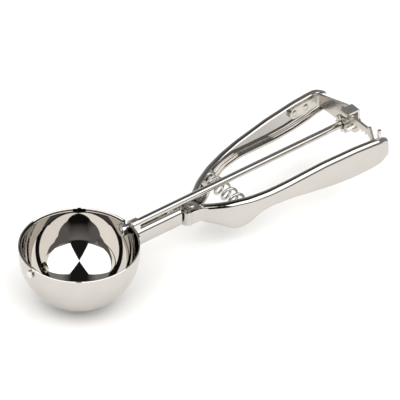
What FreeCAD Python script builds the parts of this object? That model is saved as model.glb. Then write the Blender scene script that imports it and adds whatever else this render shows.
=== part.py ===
"""Squeeze-handle ice cream scoop in stainless steel.

Squeezing the two handles swings the moving handle about the pivot rivet. Its rack runs over the top of
the pinion, so the shaft turns and the scraper sweeps half a turn through the bowl. A compression spring
between the handles opens them again.

Millimetres. X runs along the shaft from the bowl to the handle ends, Y from the moving handle to the
fixed one, Z up out of the bowl's mouth. The pieces are built about the shaft's axis, with the bowl's
centre at X = 0, and are lowered at export so that the origin is the centre of the bowl's rim.
"""
import FreeCAD, Part
import math
import os

V = FreeCAD.Vector

# bowl
BOWL_RADIUS = 32.0          # outside
BOWL_WALL = 0.8
RIM_HEIGHT = 4.0            # straight band above the hemisphere, and so the rim above the shaft's axis
NOTCH_GAP = 0.4             # round the shaft, where the rim is slotted

# clearances
RUN = 0.05                  # radial running clearance of a turning piece
FIT = 0.02                  # between pieces that are assembled and stay put
SLIP = 0.05                 # between faces that turn past each other

# shaft
SHAFT_RADIUS = 2.0
JOURNAL_RADIUS = 1.5        # reduced end that turns in the rear bushing

# scraper
SCRAPER_GAP = 0.4           # to the bowl's inner wall
SCRAPER_SHEET = 0.7
SCRAPER_WIDTH = 5.6
SCRAPER_EYE = 3.7           # radius of the rounded ends on the axis
SCRAPER_PIN_RADIUS = 1.25
SCRAPER_PIN_HEAD = 2.2
SCRAPER_PIN_HEAD_LENGTH = 1.3
HUB_RADIUS = 3.5
HUB_LENGTH = 2.6
HUB_PIN_RADIUS = 0.6

# neck
NECK_LENGTH = 33.5          # from the bowl's outside to the neck's rear end
NECK_WALL = 1.0
NECK_HALF_WIDTH = 4.4
NECK_TOP = -3.2
NECK_BOTTOM = -13.2
NECK_CORNER = 3.2
SADDLE_WALL = 1.0
WING_HALF_WIDTH = 14.0
WING_BELOW_RIM = 1.0
BEARING_OFFSET = 2.4        # from the bowl's outside to the front bearing
BEARING_LENGTH = 4.2
BEARING_WALL = 1.1

# pivot
PIVOT_SETBACK = 9.2         # pivot rivet behind the neck's end
PIVOT_RADIUS = 1.5
PIVOT_HEAD_RADIUS = 2.4
PIVOT_HEAD_HEIGHT = 1.1
PIVOT_TOP = -5.6            # under the rivet's upper head
LUG_RADIUS = 3.8
WASHER_RADIUS = 3.4
WASHER_THICKNESS = 0.4
SPACER_RADIUS = 2.6
SPACER_LENGTH = 2.3

# handles
SHEET = 1.2
HANDLE_LENGTH = 110.8       # from the pivot to the handle's end
HANDLE_SPREAD = 29.8        # outer faces from the shaft's axis, near the ends
FLANGE_WIDTH = 4.6
LIP_WIDTH = 4.6
LIP_CORNER = 2.0
WEB_REACH = 7.7             # web ahead of the pivot
WEB_INSET = 0.15            # of the web's faces from the handle's, so that they overlap cleanly
WEB_STEPS = 20              # flats along the web, which follows the handle's bend
FLANGE_START = 4.5          # behind the pivot, clear of the lugs
STRAP_LENGTH = 12.5         # fixed handle's strap along the neck
STRAP_RIVET_RADIUS = 1.3
STRAP_GAP = 0.07

# rack and pinion
TOOTH_MODULE = 1.0
PINION_TEETH = 9
PRESSURE_ANGLE = 28.0
ADDENDUM = 0.9
DEDENDUM = 1.1
BACKLASH = 0.45
PINION_LENGTH = 6.0
PINION_SETBACK = 9.3        # pinion's front face ahead of the handles' ends
RACK_SHEET = 1.6
RACK_TOP = 8.6
RACK_STOP = 1.2             # height of the rack's stops above its top edge
RACK_PIN_RADIUS = 1.1
RACK_PIN_OFFSET = 2.8       # behind the rack's middle
SQUEEZE_DEGREES = 7.8

# bearing bracket
BRACKET_SHEET = 1.5
HOOK_NEAR = -6.1
HOOK_FAR = 0.2
HOOK_GAP = 0.3
HOOK_BEND = 0.9             # radius over the hook's two upper edges
HOOK_LIP = 1.0              # thickness of the lip in front of the rack
BUSH_RADIUS = 2.8
BUSH_FLANGE = 1.0
FOOT_LENGTH = 17.0
FOOT_GAP = 0.15
FOOT_STEPS = 8              # flats along a foot, which follows the handle's bend
FOOT_LOW = -6.7             # both feet stay on the flat part of the handle's wall
FOOT_HIGH = 0.3
FOOT_RIVET_RADIUS = 1.3
FOOT_RIVET_COVER = 0.5      # handle wall left over a foot rivet's end

# spring
SPRING_OFFSET = 23.8        # behind the pivot
SPRING_Z = -8.3
WIRE_RADIUS = 0.65
COIL_RADIUS = 3.7           # to the wire's centre
COIL_TURNS = 5.5
SEAT_WALL = 1.0
SEAT_GAP = 0.15
SEAT_STUD = 2.6             # length of the stud inside the coil

# placed from the above
BOWL_INNER = BOWL_RADIUS - BOWL_WALL
SCRAPER_OUTER = BOWL_INNER - SCRAPER_GAP
SCRAPER_INNER = SCRAPER_OUTER - SCRAPER_SHEET
NECK_END = BOWL_RADIUS + NECK_LENGTH
PIVOT_X = NECK_END + PIVOT_SETBACK
HANDLE_END = PIVOT_X + HANDLE_LENGTH
PINION_FRONT = HANDLE_END - PINION_SETBACK
PINION_REAR = PINION_FRONT + PINION_LENGTH
PITCH_RADIUS = TOOTH_MODULE * PINION_TEETH / 2
RACK_X = PINION_FRONT + PINION_LENGTH / 3
BRACKET_X = PINION_REAR + 0.4
BRACKET_REAR = BRACKET_X + BRACKET_SHEET
SPRING_X = PIVOT_X + SPRING_OFFSET

# levels at the pivot, from the top down
MOVING_TAB_TOP = PIVOT_TOP - SLIP
FIXED_TAB_TOP = MOVING_TAB_TOP - SHEET - SLIP - WASHER_THICKNESS
SPACER_TOP = FIXED_TAB_TOP - SHEET
FIXED_TAB_LOW = SPACER_TOP - SPACER_LENGTH
MOVING_TAB_LOW = FIXED_TAB_LOW - SHEET - WASHER_THICKNESS - SLIP
PIVOT_BOTTOM = MOVING_TAB_LOW - SHEET - SLIP
WEB_HALF_WIDTH = NECK_HALF_WIDTH + SHEET
WEB_HIGH = MOVING_TAB_TOP - WEB_INSET
WEB_LOW = MOVING_TAB_LOW - SHEET + WEB_INSET

# handle outline: share of the handle's length behind the pivot, then the value there
OUTER_LINE = ((-0.08, 0.20), (0.0, 0.20), (0.025, 0.21), (0.06, 0.305), (0.13, 0.49), (0.23, 0.665),
              (0.33, 0.77), (0.43, 0.83), (0.63, 0.90), (0.83, 0.965), (0.95, 1.0), (1.0, 0.957))
TOP_LINE = ((0.02, -5.0), (0.09, -4.6), (0.18, -3.2), (0.27, -2.0), (0.36, -0.4),
            (0.45, 1.2), (0.63, 4.0), (0.81, 5.3), (0.92, 5.3), (0.965, 4.7), (1.0, 2.5))
BOTTOM_LINE = ((0.0, -14.0), (0.055, -15.9), (0.10, -17.6), (0.155, -21.0), (0.195, -20.4),
               (0.235, -17.4), (0.275, -13.4), (0.33, -10.9), (0.44, -10.2), (0.67, -12.6), (0.79, -12.8),
               (0.90, -11.8), (0.965, -10.2), (1.0, -8.4))
CORNER_LINE = ((0.0, 1.9), (0.15, 2.0), (0.30, 3.0), (0.50, 4.0), (0.95, 4.2), (1.0, 2.4))
STATIONS = (FLANGE_START / HANDLE_LENGTH, 0.05, 0.075, 0.10, 0.125, 0.15, 0.175, 0.20, 0.225, 0.25, 0.28,
            0.32, 0.38, 0.45, 0.54, 0.65, 0.76, 0.85, 0.92, 0.965, 1.0)


def along(points, at):
    """Value at a position on a smooth line through the points, without overshoot between them."""
    slopes = [(b[1] - a[1]) / (b[0] - a[0]) for a, b in zip(points, points[1:])]
    tangents = [slopes[0]]
    for before, after in zip(slopes, slopes[1:]):
        tangents.append(0.0 if before * after <= 0 else 2 * before * after / (before + after))
    tangents.append(slopes[-1])
    index = 0
    while index < len(points) - 2 and at > points[index + 1][0]:
        index += 1
    (x0, y0), (x1, y1) = points[index], points[index + 1]
    span = x1 - x0
    t = (at - x0) / span
    return ((1 + 2 * t) * (1 - t) ** 2 * y0 + t * (1 - t) ** 2 * span * tangents[index]
            + t * t * (3 - 2 * t) * y1 - t * t * (1 - t) * span * tangents[index + 1])


def outer_y(x):
    """Distance of a handle's outer face from the shaft's axis."""
    share = along(OUTER_LINE, (x - PIVOT_X) / HANDLE_LENGTH)
    web_share = OUTER_LINE[1][1]
    return WEB_HALF_WIDTH + (HANDLE_SPREAD - WEB_HALF_WIDTH) * (share - web_share) / (1 - web_share)


def inner_y(x):
    """Distance of a handle's inner face from the shaft's axis."""
    slope = (outer_y(x + 0.5) - outer_y(x - 0.5)) if x < HANDLE_END - 1 else 0.0
    return outer_y(x) - SHEET * math.hypot(1, slope)


def level(line, x):
    return along(line, (x - PIVOT_X) / HANDLE_LENGTH)


def box(low, high):
    size = V(*high) - V(*low)
    return Part.makeBox(size.x, size.y, size.z, V(*low))


def rod_x(radius, start, end, y=0, z=0):
    return Part.makeCylinder(radius, end - start, V(start, y, z), V(1, 0, 0))


def rod_y(radius, start, end, x, z):
    return Part.makeCylinder(radius, end - start, V(x, start, z), V(0, 1, 0))


def rod_z(radius, start, end, x, y=0):
    return Part.makeCylinder(radius, end - start, V(x, y, start), V(0, 0, 1))


def plate_x(points, start, end):
    """A flat plate across the shaft: its outline in Y and Z, between two X positions."""
    outline = Part.makePolygon([V(start, y, z) for y, z in points] + [V(start, *points[0])])
    return Part.Face(outline).extrude(V(end - start, 0, 0))


def plate_z(points, low, high):
    """A level plate: its outline in X and Y, between two heights."""
    outline = Part.makePolygon([V(x, y, low) for x, y in points] + [V(*points[0], low)])
    return Part.Face(outline).extrude(V(0, 0, high - low))


def mirrored(shape):
    return shape.mirror(V(0, 0, 0), V(0, 1, 0))


def bowl_form(radius):
    """Solid form of the bowl: a hemisphere with a straight band up to the rim."""
    ball = Part.makeSphere(radius, V(0, 0, 0), V(0, 0, 1), -90, 0, 360)
    return ball.fuse(rod_z(radius, 0, RIM_HEIGHT, 0)).removeSplitter()


def bowl():
    shell = bowl_form(BOWL_RADIUS).cut(bowl_form(BOWL_INNER))
    slot = SHAFT_RADIUS + NOTCH_GAP
    notch = rod_x(slot, BOWL_INNER - 2, BOWL_RADIUS + 1)
    notch = notch.fuse(box((BOWL_INNER - 2, -slot, 0), (BOWL_RADIUS + 1, slot, RIM_HEIGHT + 1)))
    pin_hole = rod_x(SCRAPER_PIN_RADIUS + FIT, -BOWL_RADIUS - 1, -BOWL_INNER + 2)
    return shell.cut(notch).cut(pin_hole)


def channel(half_width, top, bottom, corner, start, end):
    """Straight bar with the channel's section: flat sides and rounded lower corners."""
    bar = box((start, -half_width, bottom + corner), (end, half_width, top))
    keel = box((start, -half_width + corner, bottom), (end, half_width - corner, bottom + corner))
    bar = bar.fuse(keel)
    for side in (-1, 1):
        bar = bar.fuse(rod_x(corner, start, end, side * (half_width - corner), bottom + corner))
    return bar.removeSplitter()


def neck():
    """Channel from the bowl to the pivot, with a saddle that wraps the bowl's outside."""
    outside = channel(NECK_HALF_WIDTH, NECK_TOP, NECK_BOTTOM, NECK_CORNER, 0, NECK_END)
    inside = channel(NECK_HALF_WIDTH - NECK_WALL, NECK_TOP + 1, NECK_BOTTOM + NECK_WALL,
                     NECK_CORNER - NECK_WALL, -1, NECK_END + 1)
    wing_top = RIM_HEIGHT - WING_BELOW_RIM
    half = [(WING_HALF_WIDTH, wing_top), (WING_HALF_WIDTH, -1.0), (WING_HALF_WIDTH - 1.5, -4.5),
            (NECK_HALF_WIDTH + 2.2, -8.6), (NECK_HALF_WIDTH + 1.0, NECK_BOTTOM)]
    outline = half + [(-y, z) for y, z in reversed(half)]
    saddle = bowl_form(BOWL_RADIUS + FIT + SADDLE_WALL).common(plate_x(outline, 1, BOWL_RADIUS + 5))
    slot = SHAFT_RADIUS + NOTCH_GAP
    notch = rod_x(slot, 1, BOWL_RADIUS + 5)
    notch = notch.fuse(box((1, -slot, 0), (BOWL_RADIUS + 5, slot, RIM_HEIGHT + 1)))
    body = outside.cut(inside).fuse(saddle.cut(notch))
    body = body.cut(bowl_form(BOWL_RADIUS + FIT))
    for x in strap_rivet_places():
        body = body.cut(rod_y(STRAP_RIVET_RADIUS + FIT, 0, NECK_HALF_WIDTH + 1, x, strap_z()))
    return body.removeSplitter()


def front_bearing():
    """Block in the neck's channel that carries the shaft behind the bowl."""
    start = BOWL_RADIUS + BEARING_OFFSET
    end = start + BEARING_LENGTH
    inner = NECK_HALF_WIDTH - NECK_WALL - FIT
    block = channel(inner, NECK_TOP, NECK_BOTTOM + NECK_WALL + FIT, NECK_CORNER - NECK_WALL, start, end)
    crown = SHAFT_RADIUS + BEARING_WALL
    block = block.fuse(box((start, -crown, NECK_TOP - 1), (end, crown, 0)))
    block = block.fuse(rod_x(crown, start, end))
    return block.cut(rod_x(SHAFT_RADIUS + RUN, start - 1, end + 1)).removeSplitter()


def scraper():
    """Curved blade: a strip of a spherical shell that ends in a round eye at each pole of the axis."""
    shell = Part.makeSphere(SCRAPER_OUTER).cut(Part.makeSphere(SCRAPER_INNER))
    reach = BOWL_RADIUS + 1
    half = SCRAPER_WIDTH / 2
    form = box((-reach, 0, -half), (reach, reach, half)).fuse(rod_x(SCRAPER_EYE, -reach, reach))
    blade = shell.common(form)
    blade = blade.cut(rod_x(SCRAPER_PIN_RADIUS + RUN, -reach, 0))
    return blade.cut(rod_x(SHAFT_RADIUS + FIT, 0, reach)).removeSplitter()


def scraper_pin():
    """Rivet at the bowl's front that the blade's front eye turns on."""
    eye_inside = math.sqrt(SCRAPER_INNER ** 2 - SCRAPER_PIN_HEAD ** 2) - SLIP
    head = rod_x(SCRAPER_PIN_HEAD, -BOWL_RADIUS - SCRAPER_PIN_HEAD_LENGTH, -BOWL_RADIUS - FIT)
    head = head.makeFillet(0.4, [head.Edges[0]]) if head.Edges[0].Closed else head
    shank = rod_x(SCRAPER_PIN_RADIUS, -BOWL_RADIUS - 0.5, -eye_inside + 0.4)
    peened = rod_x(SCRAPER_PIN_HEAD, -eye_inside, -eye_inside + 0.8)
    return head.fuse(shank).fuse(peened).removeSplitter()


def hub_span():
    end = math.sqrt(SCRAPER_INNER ** 2 - HUB_RADIUS ** 2) - FIT
    return end - HUB_LENGTH, end


def scraper_hub():
    start, end = hub_span()
    collar = rod_x(HUB_RADIUS, start, end).cut(rod_x(SHAFT_RADIUS + FIT, start - 1, end + 1))
    return collar.cut(rod_z(HUB_PIN_RADIUS + FIT, -HUB_RADIUS - 1, HUB_RADIUS + 1, (start + end) / 2))


def hub_pin():
    start, end = hub_span()
    return rod_z(HUB_PIN_RADIUS, -HUB_RADIUS - 0.2, HUB_RADIUS + 0.2, (start + end) / 2)


def shaft():
    """Rod from the scraper's hub to the rear bushing, with a reduced rear journal and a clip groove."""
    start, end = hub_span()
    rod = rod_x(SHAFT_RADIUS, start - 0.5, PINION_REAR)
    rod = rod.fuse(rod_x(JOURNAL_RADIUS, PINION_REAR, clip_x() + 1.6))
    groove = rod_x(JOURNAL_RADIUS + 1, clip_x(), clip_x() + 0.7)
    groove = groove.cut(rod_x(JOURNAL_RADIUS - 0.4, clip_x() - 1, clip_x() + 2))
    pin_hole = rod_z(HUB_PIN_RADIUS + FIT, -HUB_RADIUS - 1, HUB_RADIUS + 1, (start + end) / 2)
    return rod.cut(groove).cut(pin_hole).removeSplitter()


def tooth_half_angle(radius):
    """Half of a pinion tooth's angle at a radius, by the involute of the base circle."""
    base = PITCH_RADIUS * math.cos(math.radians(PRESSURE_ANGLE))
    at = math.acos(min(1.0, base / max(radius, base)))
    pressure = math.radians(PRESSURE_ANGLE)
    involute = math.tan(at) - at
    return math.pi / (2 * PINION_TEETH) + (math.tan(pressure) - pressure) - involute


def pinion():
    """Nine-tooth involute pinion with a gap between two teeth at the top, where the rack lies."""
    root = PITCH_RADIUS - DEDENDUM * TOOTH_MODULE
    tip = PITCH_RADIUS + ADDENDUM * TOOTH_MODULE
    base = PITCH_RADIUS * math.cos(math.radians(PRESSURE_ANGLE))
    radii = [root, base] + [base + (tip - base) * k / 5 for k in range(1, 6)]
    points = []
    for tooth in range(PINION_TEETH):
        centre = math.pi / 2 + math.pi / PINION_TEETH + tooth * 2 * math.pi / PINION_TEETH
        flank = [(r, centre - tooth_half_angle(r)) for r in radii]
        flank += [(r, centre + tooth_half_angle(r)) for r in reversed(radii)]
        points += [(r * math.cos(a), r * math.sin(a)) for r, a in flank]
    gear = plate_x(points, PINION_FRONT, PINION_REAR)
    gear = gear.cut(rod_x(SHAFT_RADIUS + FIT, PINION_FRONT - 1, PINION_REAR + 1))
    recess = rod_x(SHAFT_RADIUS + 0.8, PINION_FRONT - 1, PINION_FRONT + 0.8)
    return gear.cut(recess)


def clip_x():
    return BRACKET_REAR + 0.9


def handle_section(x):
    """Closed section of a handle across the shaft: outer wall, rolled top flange and small lower lip."""
    outer = outer_y(x)
    wall = outer - inner_y(x)
    top, low = level(TOP_LINE, x), level(BOTTOM_LINE, x)
    corner = level(CORNER_LINE, x)
    flange = max(FLANGE_WIDTH * (1.0 if x < HANDLE_END - 4 else 0.7), corner + 0.3)
    y_top, y_low = outer - flange, outer - max(LIP_WIDTH, wall + 0.4)
    turn_top, turn_low = outer - corner, outer - LIP_CORNER
    root = math.sqrt(0.5)
    inset = 1 - root

    def p(y, z):
        return V(x, y, z)

    def inner(radius, centre_y, centre_z, sign):
        return p(centre_y + (outer - wall - centre_y) * root, centre_z + sign * (radius - SHEET) * root)

    points_top = (p(turn_top, top), p(outer - corner * inset, top - corner * inset), p(outer, top - corner))
    points_low = (p(outer, low + LIP_CORNER), p(outer - LIP_CORNER * inset, low + LIP_CORNER * inset),
                  p(turn_low, low))
    in_low = (p(turn_low, low + SHEET), inner(LIP_CORNER, turn_low, low + LIP_CORNER, -1),
              p(outer - wall, low + LIP_CORNER))
    in_top = (p(outer - wall, top - corner), inner(corner, turn_top, top - corner, 1),
              p(turn_top, top - SHEET))
    edges = [
        Part.LineSegment(p(y_top, top), points_top[0]),
        Part.Arc(*points_top),
        Part.LineSegment(points_top[2], points_low[0]),
        Part.Arc(*points_low),
        Part.LineSegment(points_low[2], p(y_low, low)),
        Part.LineSegment(p(y_low, low), p(y_low, low + SHEET)),
        Part.LineSegment(p(y_low, low + SHEET), in_low[0]),
        Part.Arc(*in_low),
        Part.LineSegment(in_low[2], in_top[0]),
        Part.Arc(*in_top),
        Part.LineSegment(in_top[2], p(y_top, top - SHEET)),
        Part.LineSegment(p(y_top, top - SHEET), p(y_top, top)),
    ]
    return Part.Wire([edge.toShape() for edge in edges])


def handle_form():
    """Pressed handle on the +Y side. Ahead of its flanges only the flat web goes on, past the pivot."""
    wires = [handle_section(PIVOT_X + share * HANDLE_LENGTH) for share in STATIONS]
    form = Part.makeLoft(wires, True, False)
    length = WEB_REACH + FLANGE_START + 1.5
    places = [PIVOT_X - WEB_REACH + length * k / WEB_STEPS for k in range(WEB_STEPS + 1)]
    outer = [(x, outer_y(x) - WEB_INSET) for x in places]
    inner = [(x, inner_y(x) + WEB_INSET) for x in reversed(places)]
    return form.fuse(plate_z(outer + inner, WEB_LOW, WEB_HIGH))


def lug(top):
    """Flat tab from a handle's web on the +Y side, with a round end about the pivot."""
    eye = rod_z(LUG_RADIUS, top - SHEET, top, PIVOT_X)
    reach = NECK_HALF_WIDTH + SHEET / 2
    arm = box((PIVOT_X - LUG_RADIUS, 0, top - SHEET), (PIVOT_X + LUG_RADIUS, reach, top))
    return eye.fuse(arm).removeSplitter()


def strap_z():
    return NECK_TOP - 4.2


def strap_rivet_places():
    return [NECK_END - STRAP_LENGTH + 3.0, NECK_END - 3.0]


def fixed_handle():
    body = handle_form()
    strap = box((NECK_END - STRAP_LENGTH, NECK_HALF_WIDTH + STRAP_GAP, strap_z() - 2.6),
                (PIVOT_X - WEB_REACH + 2, WEB_HALF_WIDTH - STRAP_GAP, strap_z() + 2.6))
    body = body.fuse(strap)
    for top in (FIXED_TAB_TOP, FIXED_TAB_LOW):
        body = body.fuse(lug(top))
    body = body.cut(rod_z(PIVOT_RADIUS + FIT, PIVOT_BOTTOM - 1, PIVOT_TOP + 1, PIVOT_X))
    for x in strap_rivet_places():
        body = body.cut(rod_y(STRAP_RIVET_RADIUS + FIT, 0, WEB_HALF_WIDTH + 1, x, strap_z()))
    for x in foot_rivet_places():
        body = body.cut(rod_y(FOOT_RIVET_RADIUS + FIT, inner_y(x) - 2, outer_y(x) + 1, x, foot_rivet_z()))
    return body


def moving_handle():
    """Made on the +Y side like the fixed one, then mirrored."""
    body = handle_form()
    for top in (MOVING_TAB_TOP, MOVING_TAB_LOW):
        body = body.fuse(lug(top))
    body = body.cut(rod_z(PIVOT_RADIUS + RUN, PIVOT_BOTTOM - 1, PIVOT_TOP + 1, PIVOT_X))
    for x in foot_rivet_places():
        body = body.cut(rod_y(FOOT_RIVET_RADIUS + FIT, inner_y(x) - 2, outer_y(x) + 1, x, foot_rivet_z()))
    x, y = rack_pin_place()
    return mirrored(body.cut(rod_z(RACK_PIN_RADIUS + FIT, 0, RACK_TOP, x, -y)))


def strap_rivets():
    """Two rivets that hold the fixed handle's strap to the neck."""
    inner = NECK_HALF_WIDTH - NECK_WALL
    group = []
    for x in strap_rivet_places():
        shank = rod_y(STRAP_RIVET_RADIUS, inner - 0.5, WEB_HALF_WIDTH + 0.5, x, strap_z())
        tail = rod_y(STRAP_RIVET_RADIUS + 0.7, inner - 0.6, inner - FIT, x, strap_z())
        head = dome(V(x, WEB_HALF_WIDTH + FIT, strap_z()), V(0, 1, 0), STRAP_RIVET_RADIUS + 0.8, 0.8)
        group.append(shank.fuse(tail).fuse(head).removeSplitter())
    return Part.makeCompound(group)


def dome(base, direction, radius, height):
    """Rivet head: a spherical cap on a flat base, pointing along the direction."""
    ball_radius = (radius * radius + height * height) / (2 * height)
    ball = Part.makeSphere(ball_radius, base - direction * (ball_radius - height))
    slab = Part.makeCylinder(radius + 1, height + 1, base, direction)
    return ball.common(slab)


def pivot_rivet():
    up = V(0, 0, 1)
    shank = rod_z(PIVOT_RADIUS, PIVOT_BOTTOM - 0.2, PIVOT_TOP + 0.2, PIVOT_X)
    upper = dome(V(PIVOT_X, 0, PIVOT_TOP), up, PIVOT_HEAD_RADIUS, PIVOT_HEAD_HEIGHT)
    lower = dome(V(PIVOT_X, 0, PIVOT_BOTTOM), -up, PIVOT_HEAD_RADIUS, PIVOT_HEAD_HEIGHT)
    return shank.fuse(upper).fuse(lower).removeSplitter()


def washer(low):
    ring = rod_z(WASHER_RADIUS, low, low + WASHER_THICKNESS, PIVOT_X)
    return ring.cut(rod_z(PIVOT_RADIUS + FIT, low - 1, low + WASHER_THICKNESS + 1, PIVOT_X))


def pivot_washers():
    return Part.makeCompound([washer(FIXED_TAB_TOP), washer(FIXED_TAB_LOW - SHEET - WASHER_THICKNESS)])


def pivot_spacer():
    tube = rod_z(SPACER_RADIUS, FIXED_TAB_LOW + FIT, SPACER_TOP - FIT, PIVOT_X)
    return tube.cut(rod_z(PIVOT_RADIUS + FIT, FIXED_TAB_LOW - 1, SPACER_TOP + 1, PIVOT_X))


def rack_pin_place():
    """Upright pin that holds the rack's ear under the moving handle's top flange."""
    x = RACK_X + RACK_PIN_OFFSET
    return x, -(outer_y(x) - FLANGE_WIDTH + 0.9)


def foot_rivet_places():
    return [RACK_X - FOOT_LENGTH + 4.0, RACK_X - 5.0]


def foot_rivet_z():
    return (FOOT_LOW + FOOT_HIGH) / 2


def foot(sheet, start, end):
    """Flange with a round front end that lies inside a handle's wall, on the +Y side."""
    places = [start + (end - start) * k / FOOT_STEPS for k in range(FOOT_STEPS + 1)]
    near = [(x, inner_y(x) - FOOT_GAP) for x in places]
    far = [(x, y - sheet) for x, y in reversed(near)]
    half = (FOOT_HIGH - FOOT_LOW) / 2
    blank = rod_y(half, 0, HANDLE_SPREAD, start + half, foot_rivet_z())
    blank = blank.fuse(box((start + half, 0, FOOT_LOW), (end, HANDLE_SPREAD, FOOT_HIGH)))
    return plate_z(near + far, FOOT_LOW, FOOT_HIGH).common(blank.removeSplitter())


def rack_teeth():
    """Toothed strip's outline in Y and Z: straight-sided teeth that point down at the pinion."""
    pitch = math.pi * TOOTH_MODULE
    slope = math.tan(math.radians(PRESSURE_ANGLE))
    tip = PITCH_RADIUS - ADDENDUM * TOOTH_MODULE
    root = PITCH_RADIUS + DEDENDUM * TOOTH_MODULE
    half = pitch / 4 - BACKLASH / 2
    at_tip, at_root = half - ADDENDUM * slope, half + DEDENDUM * slope
    teeth_needed = int(math.ceil(rack_travel() / pitch)) + 1
    points = []
    for k in range(1, -teeth_needed - 1, -1):
        y = k * pitch
        points += [(y + at_root, root), (y + at_tip, tip), (y - at_tip, tip), (y - at_root, root)]
    return points


def rack_travel():
    """Distance that the rack moves over the pinion in a full squeeze."""
    return (RACK_X - PIVOT_X) * math.tan(math.radians(SQUEEZE_DEGREES))


def rack():
    """Stamped plate across the handles: teeth below, a stop tab at its free end, a foot in the handle."""
    front, rear = RACK_X - RACK_SHEET / 2, RACK_X + RACK_SHEET / 2
    wall_y = inner_y(rear) - FOOT_GAP
    flange_y = outer_y(rear) - FLANGE_WIDTH
    top = level(TOP_LINE, rear)
    teeth = rack_teeth()
    stop_y = HOOK_FAR + 0.2
    shoulder = (HOOK_NEAR - 0.1 - (rear - PIVOT_X) * math.sin(math.radians(SQUEEZE_DEGREES)))
    shoulder /= math.cos(math.radians(SQUEEZE_DEGREES))
    last_tooth = teeth[-1][0]
    stop_top = RACK_TOP + RACK_STOP
    outline = [(stop_y + 4.8, teeth[0][1]), (stop_y + 4.6, 7.0), (stop_y + 1.6, stop_top),
               (stop_y, stop_top), (stop_y, RACK_TOP), (shoulder, RACK_TOP), (shoulder, stop_top),
               (shoulder - 1.4, stop_top), (-flange_y + 0.5, top - 1.8),
               (-wall_y + 2.0, top - 1.8), (-wall_y, top - 4.6), (-wall_y, FOOT_LOW),
               (-wall_y + RACK_SHEET, FOOT_LOW), (-wall_y + 3.2, -4.0), (last_tooth - 3.0, 2.4)]
    plate = plate_x(outline + list(reversed(teeth)), front, rear)
    body = plate.fuse(mirrored(foot(RACK_SHEET, rear - FOOT_LENGTH, rear)))
    x, y = rack_pin_place()
    ear_top = rack_ear_top()
    ear = box((front, y - 1.0, ear_top - SHEET), (x + 1.9, y + 1.9, ear_top))
    body = body.fuse(ear).cut(rod_z(RACK_PIN_RADIUS + FIT, ear_top - SHEET - 1, ear_top + 1, x, y))
    for x in foot_rivet_places():
        body = body.cut(rod_y(FOOT_RIVET_RADIUS + FIT, -HANDLE_SPREAD, 2 * RACK_SHEET - inner_y(x), x,
                              foot_rivet_z()))
    return body.removeSplitter()


def rack_ear_top():
    return level(TOP_LINE, RACK_X + RACK_SHEET / 2) - SHEET - 1.2


def rack_pin():
    x, y = rack_pin_place()
    return rod_z(RACK_PIN_RADIUS, rack_ear_top() - SHEET, RACK_TOP + 0.8, x, y)


def foot_rivets(sheet):
    """Two low-headed rivets, on the +Y side, that hold a foot to the inside of a handle."""
    group = []
    for x in foot_rivet_places():
        face = inner_y(x) - FOOT_GAP - sheet
        shank = rod_y(FOOT_RIVET_RADIUS, face - 0.3, outer_y(x) - FOOT_RIVET_COVER, x, foot_rivet_z())
        head = dome(V(x, face - 0.2, foot_rivet_z()), V(0, -1, 0), FOOT_RIVET_RADIUS + 0.6, 0.5)
        group.append(shank.fuse(head).removeSplitter())
    return Part.makeCompound(group)


def bearing_bracket():
    """Stamped bracket inside the fixed handle's end: its arm carries the shaft and hooks over the rack."""
    arm_round = PITCH_RADIUS + 2.9
    wall_y = inner_y(BRACKET_REAR) - FOOT_GAP
    tab_low = RACK_TOP + HOOK_GAP
    tab_high = tab_low + SHEET
    outline = [(HOOK_NEAR, tab_high), (HOOK_NEAR, 0), (0, -arm_round), (12.5, FOOT_LOW), (wall_y, FOOT_LOW),
               (wall_y, FOOT_HIGH), (HOOK_FAR + 3.0, 7.6), (HOOK_FAR + 2.6, 6.5), (HOOK_FAR, 6.5),
               (HOOK_FAR, tab_high)]
    arm = plate_x(outline, BRACKET_X, BRACKET_REAR).fuse(rod_x(arm_round, BRACKET_X, BRACKET_REAR))
    hook_front = PINION_FRONT - 0.8
    tab = box((hook_front, HOOK_NEAR, tab_low), (BRACKET_X + 0.1, HOOK_FAR, tab_high))
    lip = box((hook_front, HOOK_NEAR, tab_low - 1.5), (hook_front + HOOK_LIP, HOOK_FAR, tab_high))
    body = arm.fuse(tab).fuse(lip).fuse(foot(BRACKET_SHEET, RACK_X - FOOT_LENGTH + 1.0, BRACKET_REAR))
    body = body.removeSplitter()
    bends = [edge for edge in body.Edges if is_hook_bend(edge, hook_front, tab_high)]
    body = body.makeFillet(HOOK_BEND, bends)
    body = body.cut(rod_x(BUSH_RADIUS + FIT, BRACKET_X - 1, BRACKET_REAR + 1))
    for x in foot_rivet_places():
        body = body.cut(rod_y(FOOT_RIVET_RADIUS + FIT, inner_y(x) - 2 * BRACKET_SHEET, HANDLE_SPREAD, x,
                              foot_rivet_z()))
    return body


def is_hook_bend(edge, hook_front, tab_high):
    """True for the hook's two upper outside edges, at the arm and at the front lip."""
    box_of = edge.BoundBox
    level_edge = abs(box_of.ZMin - tab_high) < 0.01 and abs(box_of.ZMax - tab_high) < 0.01
    across = box_of.XLength < 0.01 and box_of.YLength > 1
    at_end = abs(box_of.XMin - hook_front) < 0.01 or abs(box_of.XMin - BRACKET_REAR) < 0.01
    return level_edge and across and at_end


def rear_bushing():
    """Flanged bushing, pressed in the bracket's arm, that the shaft's journal turns in."""
    sleeve = rod_x(BUSH_RADIUS, BRACKET_X - 0.2, BRACKET_REAR + 0.6)
    flange = rod_x(BUSH_RADIUS + BUSH_FLANGE, BRACKET_REAR + FIT, BRACKET_REAR + 0.6)
    return sleeve.fuse(flange).cut(rod_x(JOURNAL_RADIUS + RUN, BRACKET_X - 2, BRACKET_REAR + 2))


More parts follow.
